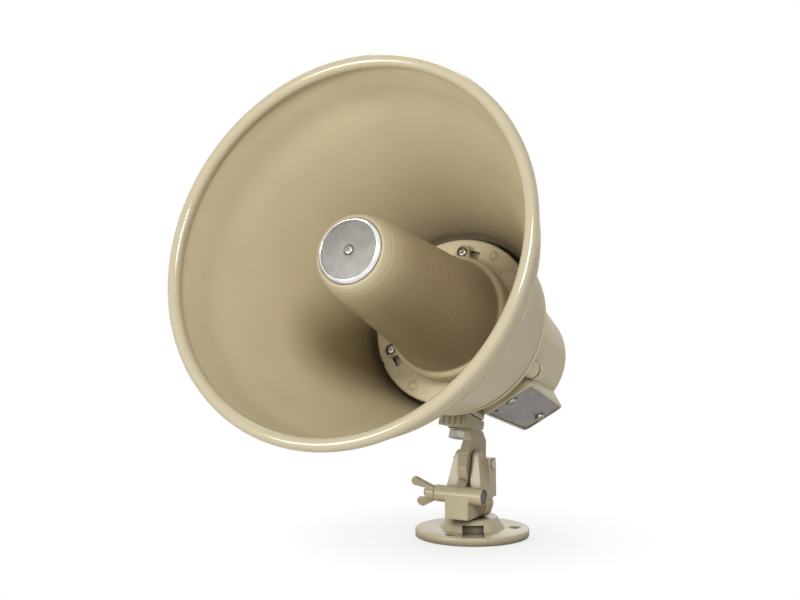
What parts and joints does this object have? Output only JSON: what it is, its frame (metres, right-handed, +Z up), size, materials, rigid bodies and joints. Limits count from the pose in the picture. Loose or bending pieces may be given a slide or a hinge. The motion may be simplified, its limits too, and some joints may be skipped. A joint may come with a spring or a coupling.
{
  "type": "pa horn speaker",
  "caption": "Folded exponential horn speaker with a conical bell, central bullet reflector, rear driver can with terminal box, and a swivel and tilt bracket on a round base flange.",
  "frame": {"origin": "centre of the base flange's underside, on the swivel axis", "axes": "+Z up along the swivel axis, the horn's mouth looks along -Y and 21 degrees up, +X is the side of the terminal box"},
  "size_m": [0.248, 0.296, 0.3186],
  "materials": {
    "base_flange": "baked beige enamel",
    "swivel_retainer": "bright spring steel",
    "yoke": "baked beige enamel",
    "pivot_pin": "plain steel",
    "clamp_bolt": "darkened steel",
    "wing_nut": "baked beige enamel",
    "brake_shoe": "plain steel",
    "tilt_arm": "baked beige enamel",
    "foot_bolt": "zinc plated",
    "foot_lock_washer": "zinc plated",
    "bell": "baked beige enamel",
    "bell_gasket": "matt",
    "throat_housing": "baked beige enamel",
    "can_gasket": "matt",
    "reflector_plate": "baked beige enamel",
    "reflector": "baked beige enamel",
    "nose_ring": "polished",
    "nose_plate": "brushed",
    "nose_screw": "zinc plated",
    "tone_tube": "moulded",
    "phase_plug": "moulded",
    "diaphragm_ring": "moulded",
    "diaphragm": "formed resin film",
    "voice_coil": "enamelled copper wire",
    "top_plate": "zinc plated",
    "magnet": "plain ferrite",
    "back_plate_and_pole": "zinc plated",
    "rear_can": "baked beige enamel",
    "terminal_cover": "grey paint",
    "terminal_block": "moulded",
    "reflector_screw_1": "zinc plated",
    "reflector_screw_2": "zinc plated",
    "reflector_screw_3": "zinc plated",
    "through_screw_1": "zinc plated",
    "through_screw_2": "zinc plated",
    "through_screw_3": "zinc plated",
    "through_screw_4": "zinc plated",
    "driver_screw_1": "zinc plated",
    "driver_screw_2": "zinc plated",
    "driver_screw_3": "zinc plated",
    "driver_screw_4": "zinc plated",
    "cover_screw_1": "zinc plated",
    "cover_screw_2": "zinc plated",
    "terminal_screw_1": "plain",
    "terminal_screw_2": "plain"
  },
  "bodies": {
    "base": {"base_flange": "base_flange"},
    "yoke": {"yoke": "yoke", "swivel_retainer": "swivel_retainer", "pivot_pin": "pivot_pin", "clamp_bolt": "clamp_bolt", "brake_shoe": "brake_shoe"},
    "wing_nut": {"wing_nut": "wing_nut"},
    "diaphragm": {"diaphragm": "diaphragm", "voice_coil": "voice_coil"},
    "head": {"tilt_arm": "tilt_arm", "foot_bolt": "foot_bolt", "foot_lock_washer": "foot_lock_washer", "bell": "bell", "bell_gasket": "bell_gasket", "throat_housing": "throat_housing", "can_gasket": "can_gasket", "reflector_plate": "reflector_plate", "reflector": "reflector", "nose_ring": "nose_ring", "nose_plate": "nose_plate", "nose_screw": "nose_screw", "tone_tube": "tone_tube", "phase_plug": "phase_plug", "diaphragm_ring": "diaphragm_ring", "top_plate": "top_plate", "magnet": "magnet", "back_plate_and_pole": "back_plate_and_pole", "rear_can": "rear_can", "terminal_cover": "terminal_cover", "terminal_block": "terminal_block", "reflector_screw_1": "reflector_screw_1", "reflector_screw_2": "reflector_screw_2", "reflector_screw_3": "reflector_screw_3", "through_screw_1": "through_screw_1", "through_screw_2": "through_screw_2", "through_screw_3": "through_screw_3", "through_screw_4": "through_screw_4", "driver_screw_1": "driver_screw_1", "driver_screw_2": "driver_screw_2", "driver_screw_3": "driver_screw_3", "driver_screw_4": "driver_screw_4", "cover_screw_1": "cover_screw_1", "cover_screw_2": "cover_screw_2", "terminal_screw_1": "terminal_screw_1", "terminal_screw_2": "terminal_screw_2"}
  },
  "joints": [
    {"name": "swivel", "type": "hinge", "parent": "base", "child": "yoke", "pos_m": [0, 0, 0], "axis": [0, 0, 1], "continuous": true},
    {"name": "tilt", "type": "hinge", "parent": "yoke", "child": "head", "pos_m": [0, 0.003, 0.0495], "axis": [-1, 0, 0], "range_deg": [-45, 45]},
    {"name": "wing_nut_turn", "type": "hinge", "parent": "yoke", "child": "wing_nut", "pos_m": [0, -0.0185, 0.0307], "axis": [1, 0, 0], "continuous": true},
    {"name": "diaphragm_travel", "type": "slide", "parent": "head", "child": "diaphragm", "axis": [0, -0.933, 0.36], "range_m": [-0.0003, 0.0003], "stiffness_N_per_m": 20000}
  ]
}
